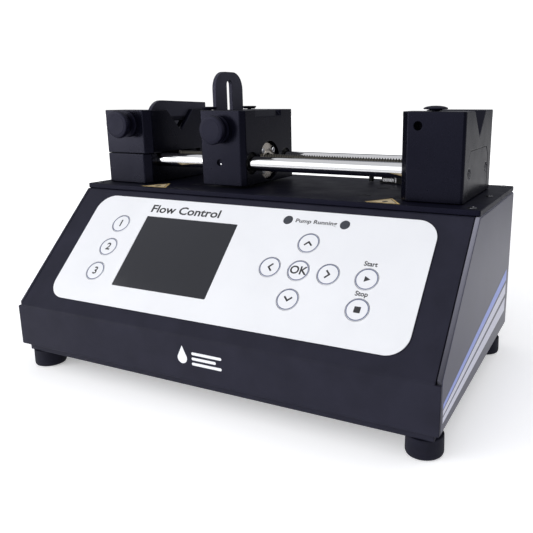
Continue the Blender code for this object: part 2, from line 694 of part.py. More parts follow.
def make_knobs(shop):
    """The clamp knobs: a thin disc on a short neck, a collar at the block and a threaded shank."""
    radius = KNOB_RADIUS
    for name, (x, z), block_face, reach in (
        ("barrel_clamp_knob", LEFT_KNOB, BLOCK_FRONT, 11.8),
        ("plunger_clamp_knob", CARRIAGE_KNOB, CARRIAGE_Y[0], 9.5),
    ):
        profile = [
            (0, reach), (radius - 0.8, reach), (radius, reach - 0.8), (radius, reach - 4.0),
            (6.0, reach - 4.2), (6.0, 2.0), (9.6, 1.8), (9.6, GAP), (2.6, GAP), (2.6, -12), (0, -12),
        ]
        shop.turned(name, (x, block_face, z), TO_FRONT, profile, "knob_plastic", 28)


def make_barrel_stop(shop):
    """The upright plate that holds a barrel's flange, with a bevelled edge over the V groove."""
    front, rear, top, edge = 93.4, 163.9, 166.8, 150.8
    outline = rounded([
        (front, 135.5, 0.6), (109.0, 135.5, 0.6), (109.0, edge, 0.8), (141.0, edge, 0.8),
        (141.0, 135.5, 0.6), (rear, 135.5, 0.6), (rear, top - 2.0, 0.8), (front, top + 0.2, 15.5),
    ], 8)
    piece = shop.flat("barrel_stop", outline, UPRIGHT_SIDE, (BARREL_STOP_X, 0, 0), STOP_THICKNESS,
                      "black_anodised")
    face = BARREL_STOP_X + STOP_THICKNESS / 2
    shop.cut(piece, shop.flat(
        "barrel_stop_bevel", [(face - 2.4, edge - 0.2), (face + 0.6, edge - 0.2), (face + 0.6, 155.4)],
        UPRIGHT_FRONT, (0, 125.0, 0), 31.6,
    ))
    shop.soften(piece, 0.3, 1)


def make_plunger_stop(shop):
    """The upright plate that holds a plunger: rounded at the top, with a long upright slot."""
    half, bottom, top = 17.8, 141.0, 186.8
    outline = rounded([
        (SCREW_Y - half, bottom, 0.6), (SCREW_Y + half, bottom, 0.6),
        (SCREW_Y + half, top, 12.5), (SCREW_Y - half, top, 12.5),
    ], 8)
    slot = rectangle((SCREW_Y - 3.5, 149.0), (SCREW_Y + 3.5, 181.0), 3.4, 6)
    piece = shop.flat("plunger_stop", outline, UPRIGHT_SIDE, (PLUNGER_STOP_X, 0, 0),
                      STOP_THICKNESS, "black_anodised", [slot])
    shop.soften(piece, 0.3, 1)


def make_right_block(shop):
    """The fixed right block: the V groove above, the belt's pocket behind a cover on its side."""
    x_low, x_high = RIGHT_X
    bottom = PLATE_TOP + GAP
    body = block(shop, "right_block", block_outline(
        x_low, x_high, BLOCK_FRONT, BLOCK_BACK, 4.6, 1.3), bottom, BLOCK_TOP)
    shop.cut(body, groove_cutter(shop, "right_groove", x_low - 5, x_high + 5))
    shop.soften(body, 0.4, 1)
    recess = cover_outline(GAP)
    shop.cut(body, shop.flat("cover_recess", recess, UPRIGHT_SIDE, (x_high, 0, 0), 6.0))
    pocket = rounded([(SCREW_Y - 13.5, bottom - 5, 0), (SCREW_Y + 13.5, bottom - 5, 0),
                      (SCREW_Y + 13.5, 134.3, 9), (SCREW_Y - 13.5, 134.3, 9)], 4)
    shop.cut(body, shop.flat("belt_pocket", pocket, UPRIGHT_SIDE, (126.5, 0, 0), 15.0))
    shop.cut(body, *rod_bores(shop, "right_rod", x_low - 5, 60, ROD_RADIUS + RUNNING_GAP))
    shop.cut(body, shop.rod("right_bearing_bore", (110.2, SCREW_Y, SCREW_Z), ALONG_X,
                            11.0 + GAP, 12))
    shop.cut(body, shop.rod("right_screw_bore", (x_low - 5, SCREW_Y, SCREW_Z), ALONG_X, 6.0, 30))
    shop.cut(body, shop.rod("right_knob_hole", (107.1, BLOCK_FRONT - 5, 151.1), ALONG_Y, 2.8, 17,
                            None, 16))
    shop.cut(body, shop.rod("right_top_hole", (114.5, 97.5, BLOCK_TOP - 10), LEVEL, 2.6, 20,
                            None, 16))

    x_out = x_high
    cover = shop.flat("right_block_cover", cover_outline(0), UPRIGHT_SIDE, (x_out - 1.35, 0, 0),
                      2.5, "black_anodised")
    shop.soften(cover, 0.3, 1)


def cover_outline(margin):
    """The side cover's outline: upright, with its two upper corners cut off."""
    low, high, top = 96.0 - margin, 154.0 + margin, 135.8 + margin
    base = PLATE_TOP + 2 * GAP - (6 if margin else 0)
    return [(low, base), (high, base), (high, top - 6), (high - 6, top), (low + 6, top),
            (low, top - 6)]


def make_thumbscrews(shop):
    """Low clamp screws in the blocks' tops, with domed heads."""
    domed = [
        (0, 3.3), (5.0, 2.9), (7.4, 1.8), (7.2, 1.2), (4.2, 1.0), (3.6, GAP), (2.2, GAP), (2.2, -8),
        (0, -8),
    ]
    shop.turned("right_thumbscrew", (114.5, 97.5, BLOCK_TOP), LEVEL, domed, "knob_plastic", 28)
    small = [
        (0, 2.4), (5.2, 2.4), (5.6, 2.1), (4.4, GAP), (1.5, GAP), (1.5, -6), (0, -6),
    ]
    for end, side in (("front", -1), ("rear", 1)):
        shop.turned(f"carriage_thumbscrew_{end}", (CLAMP_X, SCREW_Y + side * CLAMP_SPREAD, BLOCK_TOP),
                    LEVEL, small, "knob_plastic", 24)


# ---- carriage --------------------------------------------------------------------------------

def make_carriage(shop):
    """The moving block with its bushings, its nut and a guide on its left for the plunger's plate."""
    x_low, x_high = CARRIAGE_X
    y_low, y_high = CARRIAGE_Y
    body = block(shop, "carriage_block", block_outline(x_low, x_high, y_low, y_high, 0.8, 3.1),
                 CARRIAGE_BOTTOM, BLOCK_TOP)
    bevel = [(x_high - 5.8, BLOCK_TOP + 1), (x_high + 1, BLOCK_TOP - 5.8), (x_high + 6, BLOCK_TOP + 1)]
    shop.cut(body, shop.flat("carriage_bevel", bevel, UPRIGHT_FRONT, (0, SCREW_Y, 0), 35.8))
    shop.soften(body, 0.4, 1)
    length = x_high - x_low
    shop.cut(body, *rod_bores(shop, "carriage_rod", x_low - 5, length + 10, BUSHING_RADIUS + GAP))
    seat = x_high - NUT_RECESS
    shop.cut(body, shop.rod("nut_barrel_bore", (seat - 21.5, SCREW_Y, SCREW_Z), ALONG_X, 8.0, 40))
    shop.cut(body, shop.rod("nut_flange_bore", (seat, SCREW_Y, SCREW_Z), ALONG_X, 14.4, 20))
    shop.cut(body, shop.rod("carriage_screw_bore", (x_low - 5, SCREW_Y, SCREW_Z), ALONG_X, 6.0, 30))
    half = STOP_THICKNESS / 2 + PLATE_SLOT
    width = 17.8 + PLATE_SLOT
    shop.cut(body, shop.box("plunger_slot", (x_low - 5, SCREW_Y - width, 140.7),
                            (PLUNGER_STOP_X + half, SCREW_Y + width, BLOCK_TOP + 5)))
    lip_x = PLUNGER_STOP_X - half
    for end, side in (("front", -1), ("rear", 1)):
        tip, root, far = [SCREW_Y + side * (width + reach) for reach in (-2.2, 0.4, 3.6)]
        corners = [(lip_x - 1.4, tip), (lip_x, tip), (lip_x, root), (x_low + 0.6, root),
                   (x_low + 0.6, far), (lip_x - 1.4, far)]
        middle_z, height = (141.2 + BLOCK_TOP - 0.6) / 2, BLOCK_TOP - 0.6 - 141.2
        lip = shop.flat(f"plate_lip_{end}", corners, LEVEL, (0, 0, middle_z), height)
        shop.join(body, lip)
    knob_x, knob_z = CARRIAGE_KNOB
    for name, height, radius, depth in (("knob", knob_z, 3.0, 19), ("lock", SCREW_Z + 0.6, 2.3, 6.6)):
        hole = shop.rod(f"carriage_{name}_hole", (knob_x, y_low - 5, height), ALONG_Y,
                        radius, depth, None, 16)
        shop.cut(body, hole)
    for end, side in (("front", -1), ("rear", 1)):
        hole = shop.rod(f"carriage_{end}_hole", (CLAMP_X, SCREW_Y + side * CLAMP_SPREAD, BLOCK_TOP - 8),
                        LEVEL, 1.8, 20, None, 16)
        shop.cut(body, hole)

    bore = ROD_RADIUS + RUNNING_GAP
    bush = [
        (BUSHING_RADIUS, length - 1.6), (BUSHING_RADIUS, 0), (bore, 0), (bore, length - 1.6),
    ]
    for y, end in rod_places():
        shop.turned(f"bushing_{end}", (x_low + 0.8, y, SCREW_Z), ALONG_X, bush, "seal_black", 28)

    bore = SCREW_RADIUS + RUNNING_GAP
    nut = [
        (7.6, 4.6), (7.6, 3.4), (13.2, 3.4), (13.2, 0.3), (7.6, 0.3), (7.6, -21.0), (bore, -21.0),
        (bore, 4.6),
    ]
    shop.turned("drive_nut", (seat, SCREW_Y, SCREW_Z), ALONG_X, nut, "nut_metal")


def make_limit_switch(shop):
    """The end switch behind the carriage's path: a low body with a lever and a small roller."""
    y_low, y_high = 161.6, 170.6
    low = PLATE_TOP + GAP
    body = shop.box("limit_switch", (57, y_low, low), (79, y_high, low + 5.3), "socket_plastic")
    foot = shop.box("switch_foot", (54.6, y_low + 2, low + 0.1), (81.4, y_high - 2, low + 1.3))
    lever = shop.box("switch_lever", (46.5, y_low + 1.2, low + 4.1), (60, y_low + 5.2, low + 4.9))
    roller = shop.rod("switch_roller", (47.5, y_low + 3.2, low + 0.4), LEVEL, 1.9, 4.4, None, 16)
    shop.join(body, foot, lever, roller)


# ---- build -----------------------------------------------------------------------------------

def clear_scene():
    for old in list(bpy.data.objects):
        bpy.data.objects.remove(old, do_unlink=True)


def main():
    clear_scene()
    shop = Shop()
    for make in (
        make_base, make_feet, make_front_cover, make_sides, make_rear, make_rocker, make_top_plate,
        make_panel, make_control_board, make_drive, make_left_block, make_barrel_stop,
        make_carriage, make_plunger_stop, make_knobs, make_right_block, make_thumbscrews,
        make_limit_switch,
    ):
        make(shop)


main()
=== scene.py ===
"""The looks of a bench syringe pump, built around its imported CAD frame."""

import json
import math

import bmesh
import bpy
from mathutils import Matrix, Vector


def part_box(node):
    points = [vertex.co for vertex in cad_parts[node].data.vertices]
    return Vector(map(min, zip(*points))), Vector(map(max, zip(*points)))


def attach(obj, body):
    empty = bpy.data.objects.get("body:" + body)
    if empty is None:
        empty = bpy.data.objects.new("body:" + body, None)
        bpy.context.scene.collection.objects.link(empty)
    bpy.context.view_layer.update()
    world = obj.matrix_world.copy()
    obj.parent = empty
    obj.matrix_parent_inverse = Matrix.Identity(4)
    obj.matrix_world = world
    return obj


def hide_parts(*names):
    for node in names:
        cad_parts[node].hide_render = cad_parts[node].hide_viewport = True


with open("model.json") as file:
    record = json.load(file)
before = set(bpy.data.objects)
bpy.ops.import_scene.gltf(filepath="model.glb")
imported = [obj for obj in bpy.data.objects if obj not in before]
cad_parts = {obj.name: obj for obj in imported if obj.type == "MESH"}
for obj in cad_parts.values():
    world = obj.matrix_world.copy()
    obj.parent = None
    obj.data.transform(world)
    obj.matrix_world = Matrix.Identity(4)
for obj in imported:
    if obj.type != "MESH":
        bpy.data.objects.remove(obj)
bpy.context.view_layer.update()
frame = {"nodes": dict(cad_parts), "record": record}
nodes = frame["nodes"]

MM = 0.001
LEG = math.sqrt(0.5)  # the rise of a unit step up the 45 degree slope
SKIN = 0.05  # thickness of a printed mark, in millimetres
OVERLAY = 0.5  # thickness of the panel overlay, in millimetres
ROD_RADIUS = 5.0  # the guide rods, in millimetres


# ---- frames: x to the right, y up the face, z out of it ----------------------------------------

def facing(origin, right, up):
    """A frame at a place, its x to the right and its z out of the face."""
    right, up = Vector(right).normalized(), Vector(up).normalized()
    matrix = Matrix((right, up, right.cross(up))).transposed().to_4x4()
    matrix.translation = Vector(origin)
    return matrix


def middle(node):
    """The middle of a CAD node's box."""
    low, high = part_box(node)
    return (low + high) / 2


def moved(matrix, x=0.0, y=0.0, z=0.0):
    """The same frame, shifted by millimetres along its own axes."""
    return matrix @ Matrix.Translation(Vector((x, y, z)) * MM)


plate_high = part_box("top_plate")[1]
cover_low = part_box("front_cover")[0]
skin_low, skin_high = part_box("panel_overlay")
PANEL = facing(
    ((skin_low.x + skin_high.x) / 2, (skin_low.y + skin_high.y - OVERLAY * MM * LEG) / 2,
     (skin_low.z + skin_high.z + OVERLAY * MM * LEG) / 2), (1, 0, 0), (0, 1, 1))
PANEL_WIDTH = (skin_high.x - skin_low.x) / MM
PANEL_HEIGHT = (skin_high.z - skin_low.z - OVERLAY * MM * LEG) / LEG / MM
UPWARD = facing((0, 0, plate_high.z), (1, 0, 0), (0, 1, 0))
RIGHT_SIDE = facing((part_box("side_panel_right")[1].x, cover_low.y, cover_low.z),
                    (0, 1, 0), (0, 0, 1))
LEFT_SIDE = facing((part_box("side_panel_left")[0].x, cover_low.y, cover_low.z),
                   (0, -1, 0), (0, 0, 1))


def on_panel(node):
    """A node's middle on the control face, in millimetres from the panel's middle."""
    spot = PANEL.inverted() @ middle(node)
    return spot.x / MM, spot.y / MM


# ---- materials ---------------------------------------------------------------------------------

class Finish:
    """A procedural material built up from a Principled shader."""

    def __init__(self, name, color, roughness, metallic=0.0, **sockets):
        self.material = bpy.data.materials.new(name)
        self.material.use_nodes = True
        self.tree = self.material.node_tree
        self.surface = self.tree.nodes["Principled BSDF"]
        self.surface.inputs["Base Color"].default_value = (*color, 1.0)
        self.surface.inputs["Roughness"].default_value = roughness
        self.surface.inputs["Metallic"].default_value = metallic
        for socket, value in sockets.items():
            self.surface.inputs[socket.replace("_", " ")].default_value = value
        self.material.diffuse_color = (*color, 1.0)
        self.place = self.tree.nodes.new("ShaderNodeTexCoord").outputs["Object"]
        self.normal = None

    def noise(self, scale, stretch=(1, 1, 1), detail=3.0):
        """Noise in the object's own coordinates, about this many grains to a metre."""
        fit = self.tree.nodes.new("ShaderNodeMapping")
        fit.inputs["Scale"].default_value = stretch
        self.tree.links.new(self.place, fit.inputs["Vector"])
        noise = self.tree.nodes.new("ShaderNodeTexNoise")
        noise.inputs["Scale"].default_value = scale
        noise.inputs["Detail"].default_value = detail
        noise.inputs["Roughness"].default_value = 0.55
        self.tree.links.new(fit.outputs["Vector"], noise.inputs["Vector"])
        return noise.outputs["Fac"]

    def span(self, value, low, high, start=0.3, stop=0.7):
        """A value from start to stop, mapped to low to high."""
        fit = self.tree.nodes.new("ShaderNodeMapRange")
        fit.inputs["From Min"].default_value = start
        fit.inputs["From Max"].default_value = stop
        fit.inputs["To Min"].default_value = low
        fit.inputs["To Max"].default_value = high
        self.tree.links.new(value, fit.inputs["Value"])
        return fit.outputs["Result"]

    def mottle(self, scale, dark, light, stretch=(1, 1, 1)):
        """Colour that wanders between two close shades."""
        ramp = self.tree.nodes.new("ShaderNodeValToRGB")
        ramp.color_ramp.elements[0].position = 0.32
        ramp.color_ramp.elements[0].color = (*dark, 1.0)
        ramp.color_ramp.elements[1].position = 0.68
        ramp.color_ramp.elements[1].color = (*light, 1.0)
        self.tree.links.new(self.noise(scale, stretch), ramp.inputs["Fac"])
        self.tree.links.new(ramp.outputs["Color"], self.surface.inputs["Base Color"])
        return self

    def polish(self, scale, low, high, stretch=(1, 1, 1)):
        """Roughness that wanders between two values."""
        result = self.span(self.noise(scale, stretch), low, high)
        self.tree.links.new(result, self.surface.inputs["Roughness"])
        return self

    def round_corners(self, radius):
        """Shade every sharp corner as if it were rounded by this many millimetres."""
        bevel = self.tree.nodes.new("ShaderNodeBevel")
        bevel.samples = 6
        bevel.inputs["Radius"].default_value = radius * MM
        self.normal = bevel.outputs["Normal"]
        self.tree.links.new(self.normal, self.surface.inputs["Normal"])
        return self

    def relief(self, scale, strength, depth, stretch=(1, 1, 1)):
        """Fine bumps, their depth in millimetres, laid over any relief already there."""
        bump = self.tree.nodes.new("ShaderNodeBump")
        bump.inputs["Strength"].default_value = strength
        bump.inputs["Distance"].default_value = depth * MM
        self.tree.links.new(self.noise(scale, stretch, 2.0), bump.inputs["Height"])
        if self.normal:
            self.tree.links.new(self.normal, bump.inputs["Normal"])
        self.normal = bump.outputs["Normal"]
        self.tree.links.new(self.normal, self.surface.inputs["Normal"])
        return self


def around(color, share):
    """The two shades that lie this share below and above a colour."""
    return tuple(c * (1 - share) for c in color), tuple(c * (1 + share) for c in color)


def painted(name, color, roughness):
    """Powder coat: fine pebbled skin, faint clouding, and patches rubbed a little smoother."""
    made = Finish(name, color, roughness, Specular_IOR_Level=0.08)
    made.mottle(55, *around(color, 0.12)).polish(38, roughness - 0.05, roughness + 0.06)
    made.round_corners(1.1)
    return made.relief(1500, 0.12, 0.05).relief(5200, 0.08, 0.02).material


def anodised(name, color, roughness, shine=0.15):
    """Bead-blasted and dyed metal: very fine grain with soft handling marks."""
    made = Finish(name, color, roughness, Specular_IOR_Level=shine,
                  Specular_Tint=(0.66, 0.66, 1.0, 1.0))
    made.mottle(80, *around(color, 0.10)).polish(60, roughness - 0.05, roughness + 0.06)
    made.round_corners(0.6)
    return made.relief(4200, 0.12, 0.02).material


def moulded(name, color, roughness, share=0.08, **sockets):
    """Moulded plastic or rubber: a fine, even grain."""
    made = Finish(name, color, roughness, Specular_IOR_Level=0.16, **sockets)
    made.mottle(140, *around(color, share)).polish(90, roughness - 0.05, roughness + 0.05)
    return made.relief(2600, 0.15, 0.03).material


def metal(name, color, roughness, stretch=(1, 1, 1)):
    """Plated or turned metal, its fine grain drawn out where a stretch is given."""
    made = Finish(name, color, roughness, 1.0)
    made.mottle(220, *around(color, 0.07), stretch)
    made.polish(900, max(0.02, roughness - 0.05), roughness + 0.06, stretch)
    return made.relief(1800, 0.05, 0.01, stretch).material


def printed(name, color, roughness=0.45):
    """A screen-printed ink."""
    made = Finish(name, color, roughness)
    return made.mottle(700, *around(color, 0.06)).polish(300, roughness - 0.05,
                                                         roughness + 0.05).material


def highlit_side_finish():
    """The right side panel's powder coat, with a painted highlight along its narrow edges, more so
    higher up.
    """
    made = Finish("side_paint_finish", (0.0220, 0.0220, 0.0460), 0.34, Specular_IOR_Level=0.24,
                  Specular_Tint=(0.72, 0.72, 1.0, 1.0))
    tree = made.tree
    made.mottle(55, (0.0200, 0.0200, 0.0420), (0.0240, 0.0240, 0.0500))
    face_paint = made.surface.inputs["Base Color"].links[0].from_socket
    axes = tree.nodes.new("ShaderNodeSeparateXYZ")
    height = tree.nodes.new("ShaderNodeSeparateXYZ")
    tree.links.new(tree.nodes.new("ShaderNodeTexCoord").outputs["Normal"], axes.inputs["Vector"])
    across = tree.nodes.new("ShaderNodeMath")
    across.operation = "ABSOLUTE"
    tree.links.new(axes.outputs["X"], across.inputs[0])
    # Mask for the painted highlight: full on the narrow edges, whose normals turn away from the side.
    edge = made.span(across.outputs["Value"], 1.0, 0.0, 0.4, 0.9)
    blend = tree.nodes.new("ShaderNodeMix")
    blend.data_type = "RGBA"
    tree.links.new(edge, blend.inputs["Factor"])
    tree.links.new(face_paint, blend.inputs["A"])
    tree.links.new(made.place, height.inputs["Vector"])
    # Colour of the painted highlight, lighter higher up the panel.
    painted_highlight = tree.nodes.new("ShaderNodeCombineColor")
    for channel, share in (("Red", 1.0), ("Green", 1.0), ("Blue", 1.2)):
        level = made.span(height.outputs["Z"], 0.03 * share, 0.24 * share, 0.04, 0.13)
        tree.links.new(level, painted_highlight.inputs[channel])
    tree.links.new(painted_highlight.outputs["Color"], blend.inputs["B"])
    tree.links.new(blend.outputs["Result"], made.surface.inputs["Base Color"])
    made.polish(9, 0.33, 0.36).round_corners(0.9)
    return made.relief(1500, 0.12, 0.05).relief(5200, 0.08, 0.02).material


case_paint = painted("case_paint_finish", (0.0170, 0.0170, 0.0285), 0.46)
# The right side panel's paint carries a painted highlight on its narrow edges; the left one's does not.
highlit_side_paint = highlit_side_finish()
black_anodised = anodised("black_anodised_finish", (0.0022, 0.0023, 0.0052), 0.24)
plate_anodised = anodised("plate_anodised_finish", (0.0040, 0.0040, 0.0095), 0.44, 0.10)
stop_anodised = anodised("stop_anodised_finish", (0.0270, 0.0270, 0.0385), 0.40)
knob_plastic = moulded("knob_finish", (0.0040, 0.0040, 0.0100), 0.44, 0.08,
                       Specular_Tint=(0.7, 0.7, 1.0, 1.0))
foot_rubber = moulded("foot_rubber_finish", (0.0060, 0.0060, 0.0140), 0.70, 0.15)
seal_black = moulded("seal_finish", (0.006, 0.006, 0.007), 0.55)
socket_black = moulded("socket_finish", (0.010, 0.010, 0.011), 0.38)
panel_film = Finish("panel_film_finish", (0.74, 0.75, 0.78), 0.36)
panel_film.mottle(26, (0.73, 0.74, 0.77), (0.76, 0.77, 0.80)).polish(120, 0.32, 0.42)
panel_film = panel_film.relief(2400, 0.06, 0.02).material
rod_chrome = Finish("rod_chrome_finish", (0.60, 0.60, 0.61), 0.12, 1.0)
rod_chrome = rod_chrome.polish(300, 0.07, 0.14, (0.05, 1, 1)).material
thread_steel = metal("thread_steel_finish", (0.085, 0.078, 0.066), 0.36)
nut_nickel = metal("nut_nickel_finish", (0.50, 0.46, 0.41), 0.26)
screw_zinc = metal("screw_zinc_finish", (0.62, 0.62, 0.64), 0.28)
screw_black = metal("screw_black_finish", (0.05, 0.05, 0.06), 0.38)
screw_dark = metal("screw_dark_finish", (0.09, 0.09, 0.10), 0.30)
pulley_turned = metal("pulley_finish", (0.72, 0.72, 0.73), 0.32, (1, 0.1, 0.1))
board_green = moulded("board_finish", (0.012, 0.085, 0.03), 0.42, 0.2)
belt_rubber = moulded("belt_finish", (0.012, 0.012, 0.013), 0.7, 0.2)
motor_black = painted("motor_finish", (0.012, 0.012, 0.013), 0.45)
lens_dark = moulded("lens_finish", (0.050, 0.054, 0.066), 0.30)
ink_blue = printed("ink_blue_finish", (0.085, 0.105, 0.20))
ink_black = printed("ink_black_finish", (0.012, 0.012, 0.015))
ink_white = printed("ink_white_finish", (0.76, 0.77, 0.81))
stripe_white = printed("stripe_white_finish", (0.56, 0.56, 0.66), 0.42)
stripe_blue = printed("stripe_blue_finish", (0.22, 0.28, 0.66), 0.42)
sticker_amber = printed("sticker_amber_finish", (0.70, 0.50, 0.20), 0.40)
sticker_cream = printed("sticker_cream_finish", (0.66, 0.54, 0.34), 0.40)
sticker_rim = printed("sticker_rim_finish", (0.03, 0.028, 0.025), 0.45)


def screen_finish():
    """Dark display glass: a hard gloss over a faintly clouded deep grey."""
    made = Finish("screen_finish", (0.030, 0.034, 0.040), 0.10, Specular_IOR_Level=0.3)
    made.mottle(9, (0.014, 0.015, 0.020), (0.017, 0.018, 0.025)).polish(160, 0.07, 0.13)
    return made.relief(3000, 0.02, 0.01).material


screen_glass = screen_finish()

CAD_FINISHES = {
    "case_paint": case_paint, "black_anodised": black_anodised, "panel_print": panel_film,
    "screen_glass": screen_glass, "indicator_lens": lens_dark, "knob_plastic": knob_plastic,
    "foot_rubber": foot_rubber, "rod_chrome": rod_chrome, "screw_steel": thread_steel,
    "nut_metal": nut_nickel, "seal_black": seal_black, "motor_paint": motor_black,
    "belt_rubber": belt_rubber, "pulley_aluminium": pulley_turned, "circuit_board": board_green,
    "socket_plastic": socket_black, "socket_metal": screw_zinc,
}
SPECIAL = {
    "side_panel_right": highlit_side_paint, "side_panel_left": case_paint, "top_plate": plate_anodised,
    "plunger_stop": stop_anodised, "barrel_stop": stop_anodised,
}
slots = {entry["node"]: entry["material_slot"] for entry in frame["record"]["subparts"]}
for name, node in nodes.items():
    finish = SPECIAL.get(name, CAD_FINISHES[slots[name]])
    for index in range(len(node.material_slots)):
        node.material_slots[index].link = "OBJECT"
        node.material_slots[index].material = finish


# ---- shapes ------------------------------------------------------------------------------------

def show(name, mesh, matrix, finish, body, round_edges=None):
    """Place a mesh as a piece riding on a body, smooth below that angle in degrees if given."""
    mesh.transform(matrix)
    mesh.materials.clear()
    mesh.materials.append(finish)
    if round_edges:
        mesh.shade_smooth()
        mesh.set_sharp_from_angle(angle=math.radians(round_edges))
    piece = bpy.data.objects.new(name, mesh)
    bpy.context.scene.collection.objects.link(piece)
    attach(piece, body)
    return piece


def from_curve(curve, lift):
    """The solid mesh of a flat curve or text, standing on the face's plane and lifted off it."""
    guide = bpy.data.objects.new("guide", curve)
    bpy.context.scene.collection.objects.link(guide)
    graph = bpy.context.evaluated_depsgraph_get()
    mesh = bpy.data.meshes.new_from_object(guide.evaluated_get(graph))
    bpy.data.objects.remove(guide)
    bpy.data.curves.remove(curve)
    shape = bmesh.new()
    shape.from_mesh(mesh)
    bmesh.ops.remove_doubles(shape, verts=shape.verts, dist=0.0000005)
    bmesh.ops.translate(shape, verts=shape.verts, vec=(0, 0, lift * MM))
    bmesh.ops.recalc_face_normals(shape, faces=shape.faces)
    shape.to_mesh(mesh)
    shape.free()
    return mesh


def flat(name, loops, matrix, thickness, finish, body, lift=0.0, soft=0.0):
    """Closed outlines in millimetres, the first one outside and the rest holes, made solid."""
    curve = bpy.data.curves.new(name, "CURVE")
    curve.dimensions = "2D"
    curve.fill_mode = "BOTH"
    curve.extrude = thickness * MM / 2
    for loop in loops:
        spline = curve.splines.new("POLY")
        spline.points.add(len(loop) - 1)
        for point, (x, y) in zip(spline.points, loop):
            point.co = (x * MM, y * MM, 0, 1)
        spline.use_cyclic_u = True
    mesh = from_curve(curve, lift + thickness / 2)
    piece = show(name, mesh, matrix, finish, body)
    if soft:
        edge = piece.modifiers.new("soft_edge", "BEVEL")
        edge.width = soft * MM
        edge.segments = 2
        edge.limit_method = "ANGLE"
        edge.angle_limit = math.radians(50)
    return piece


def lettering(name, words, matrix, height, finish, body, width=None, bold=0.05):
    """Plain lettering centred on the frame, its capitals of that height in millimetres."""
    curve = bpy.data.curves.new(name, "FONT")
    curve.body = words
    curve.size = height / 0.7 * MM
    curve.extrude = SKIN / 2 * MM
    curve.offset = bold * MM
    curve.resolution_u = 3
    curve.align_x = "CENTER"
    curve.align_y = "CENTER"
    mesh = from_curve(curve, SKIN / 2)
    if width:
        wide = max(v.co.x for v in mesh.vertices) - min(v.co.x for v in mesh.vertices)
        mesh.transform(Matrix.Diagonal((width * MM / wide, 1, 1, 1)))
    return show(name, mesh, matrix, finish, body)


def turned(name, profile, matrix, finish, body, steps=64, ribs=0):
    """A (radius, height, rib depth) profile turned about the frame's z, closed at both ends."""
    shape = bmesh.new()
    rings = []
    for radius, height, *rib in profile:
        depth = rib[0] if rib else 0.0
        if radius == 0:
            rings.append([shape.verts.new((0, 0, height * MM))])
            continue
        ring = []
        for k in range(steps):
            angle = 2 * math.pi * k / steps
            r = (radius - depth * (0.5 + 0.5 * math.cos(ribs * angle))) * MM
            ring.append(shape.verts.new((r * math.cos(angle), r * math.sin(angle), height * MM)))
        rings.append(ring)
    for low, high in zip(rings, rings[1:]):
        for k in range(steps):
            n = (k + 1) % steps
            corners = [low[k % len(low)], low[n % len(low)], high[n % len(high)],
                       high[k % len(high)]]
            unique = list(dict.fromkeys(corners))
            if len(unique) > 2:
                shape.faces.new(unique)
    bmesh.ops.recalc_face_normals(shape, faces=shape.faces)
    mesh = bpy.data.meshes.new(name)
    shape.to_mesh(mesh)
    shape.free()
    return show(name, mesh, matrix, finish, body, 35)


def circle(x, y, radius, steps=64):
    """A round outline."""
    return [(x + radius * math.cos(2 * math.pi * k / steps),
             y + radius * math.sin(2 * math.pi * k / steps)) for k in range(steps)]


def rounded_box(low, high, radius, steps=10):
    """A rectangle's outline with its corners rounded."""
    (x0, y0), (x1, y1) = low, high
    points = []
    for x, y, start in ((x1 - radius, y1 - radius, 0), (x0 + radius, y1 - radius, 90),
                        (x0 + radius, y0 + radius, 180), (x1 - radius, y0 + radius, 270)):
        for k in range(steps + 1):
            angle = math.radians(start + 90 * k / steps)
            points.append((x + radius * math.cos(angle), y + radius * math.sin(angle)))
    return points


def hexagon(radius, turn):
    """A six-sided outline about the origin, turned by that many degrees."""
    return [(radius * math.cos(math.radians(60 * k + turn)),
             radius * math.sin(math.radians(60 * k + turn))) for k in range(6)]


def turned_outline(points, degrees):
    """An outline turned about the origin."""
    c, s = math.cos(math.radians(degrees)), math.sin(math.radians(degrees))
    return [(x * c - y * s, x * s + y * c) for x, y in points]


def shifted(points, x, y):
    """An outline moved across its plane."""
    return [(px + x, py + y) for px, py in points]


# ---- control face ------------------------------------------------------------------------------

KEYS = ("key_one", "key_two", "key_three", "key_up", "key_left", "key_ok", "key_right",
        "key_down", "key_start", "key_stop")
KEY_RADIUS = 7.0
KEY_GAP = 0.3  # between a key and the edge of its hole
LAMP_HOLE = 3.3


def make_overlay():
    """The printed overlay, with holes for the display, the keys and the indicators."""
    glass_low, glass_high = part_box("display_window")
    window = PANEL.inverted() @ middle("display_window")
    half_w = (glass_high.x - glass_low.x) / 2 / MM + 0.2
    half_h = (glass_high.z - glass_low.z) / 2 / MM / LEG - 0.7
    u, v = window.x / MM, window.y / MM
    loops = [rounded_box((-PANEL_WIDTH / 2, -PANEL_HEIGHT / 2), (PANEL_WIDTH / 2, PANEL_HEIGHT / 2),
                         13.0, 16)]
    loops.append(rounded_box((u - half_w, v - half_h), (u + half_w, v + half_h), 0.8, 4))
    loops += [circle(*on_panel(key), KEY_RADIUS + KEY_GAP) for key in KEYS]
    loops += [circle(*on_panel(lamp), LAMP_HOLE, 40)
              for lamp in ("indicator_left", "indicator_right")]
    film = flat("panel_film", loops, PANEL, OVERLAY, panel_film, "case",
                lift=-OVERLAY, soft=0.08)
    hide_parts("panel_overlay")


